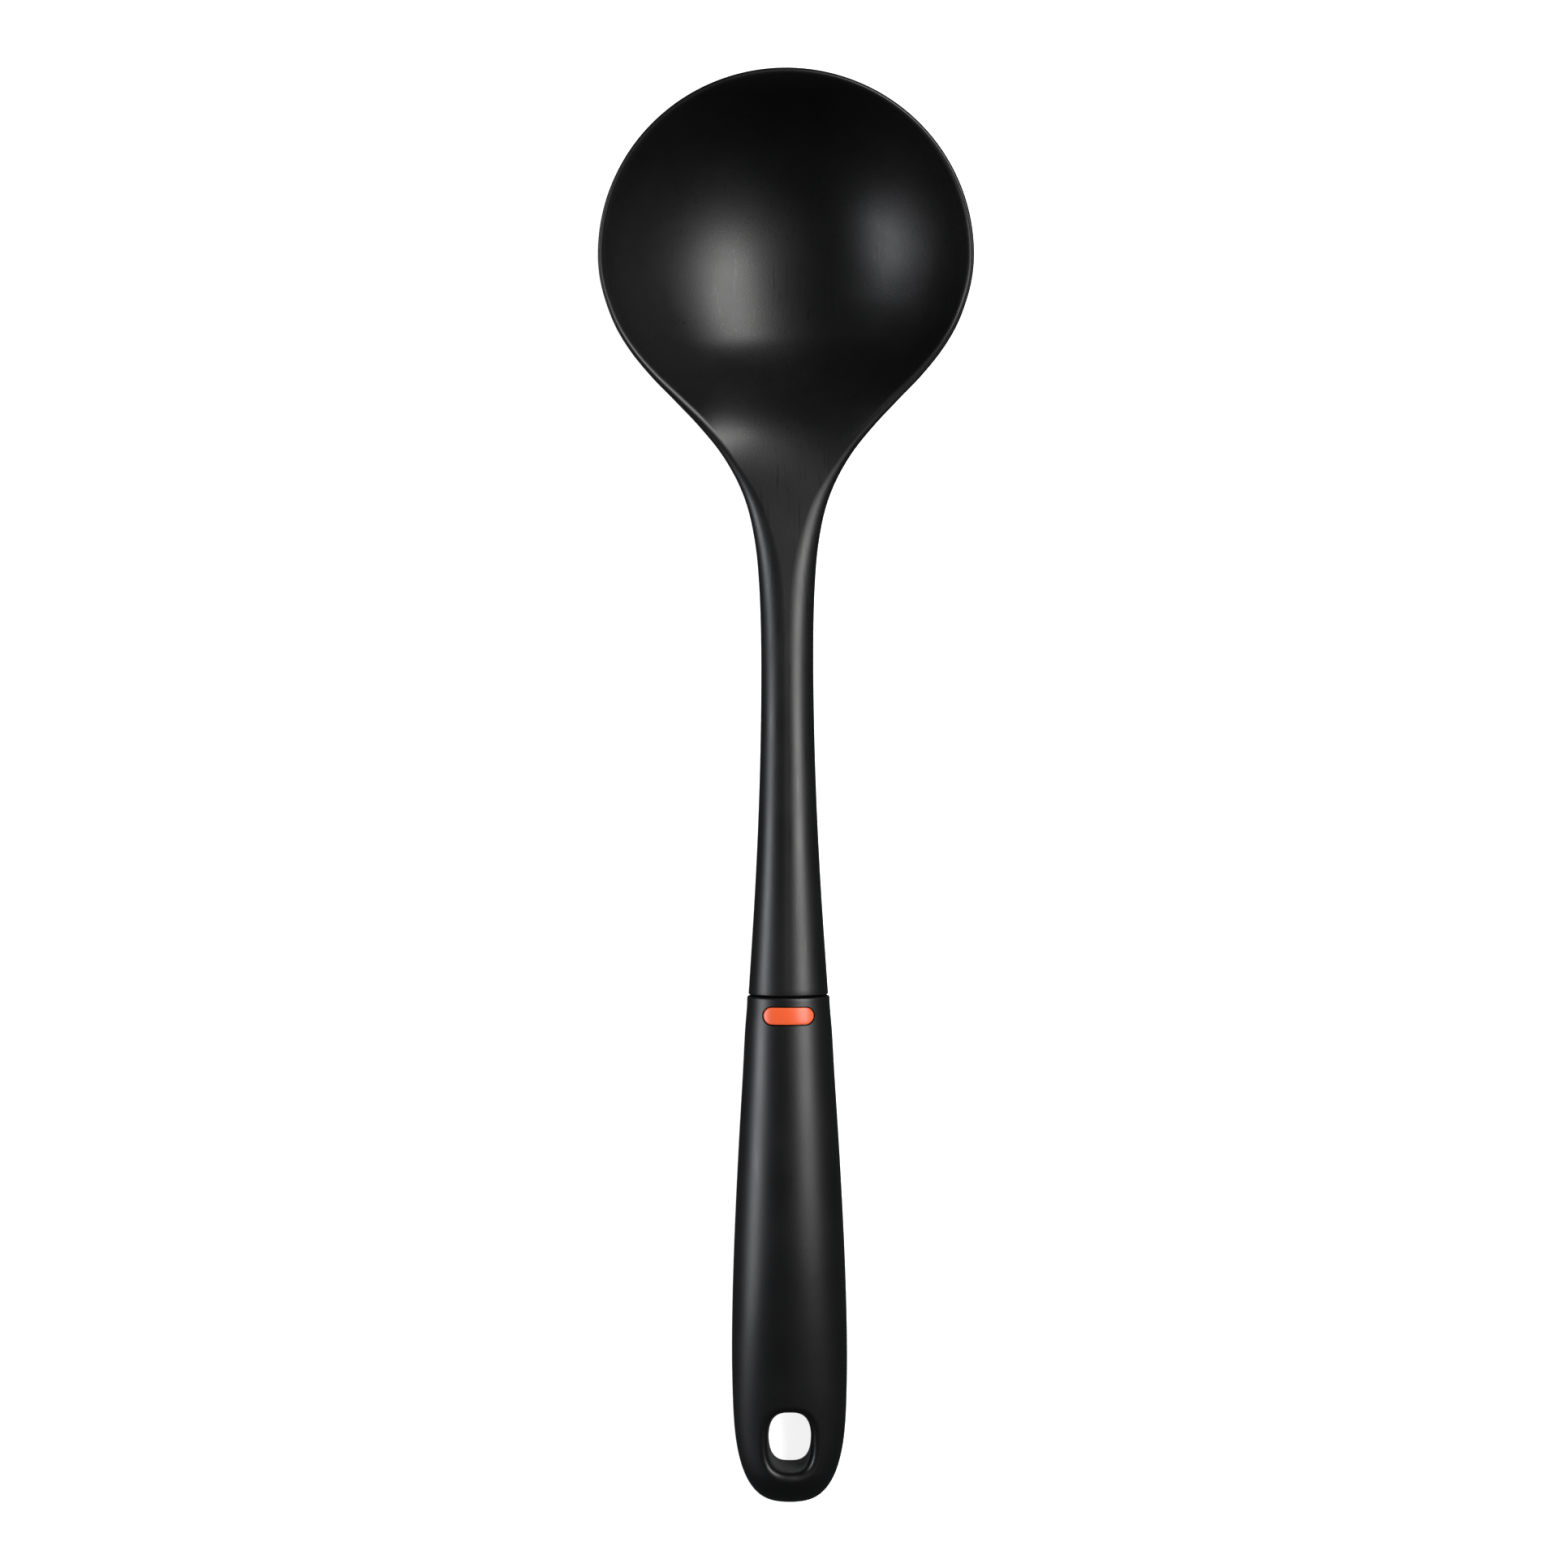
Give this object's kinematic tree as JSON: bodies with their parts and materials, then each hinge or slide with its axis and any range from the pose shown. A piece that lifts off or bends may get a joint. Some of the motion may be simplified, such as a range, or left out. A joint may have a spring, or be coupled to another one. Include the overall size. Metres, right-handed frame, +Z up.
{
  "type": "soup ladle",
  "caption": "Black nylon soup ladle: a deep round bowl on a slim arched shaft, with a soft-grip handle that has an orange inlay and a hanging hole.",
  "frame": {"origin": "on the table, under the middle of the ladle's length and width", "axes": "+Y from the handle's end to the bowl's tip, +Z up out of the bowl, +X to the right seen from above; the ladle lies on its back"},
  "size_m": [0.0906, 0.348, 0.0485],
  "materials": {
    "nylon": "satin moulded nylon",
    "core": "satin moulded plastic",
    "grip": "soft-touch matt",
    "inlay": "smooth"
  },
  "bodies": {
    "root": {"bowl_and_shaft": "nylon", "handle_core": "core", "soft_grip": "grip", "accent_inlay": "inlay"}
  },
  "joints": []
}
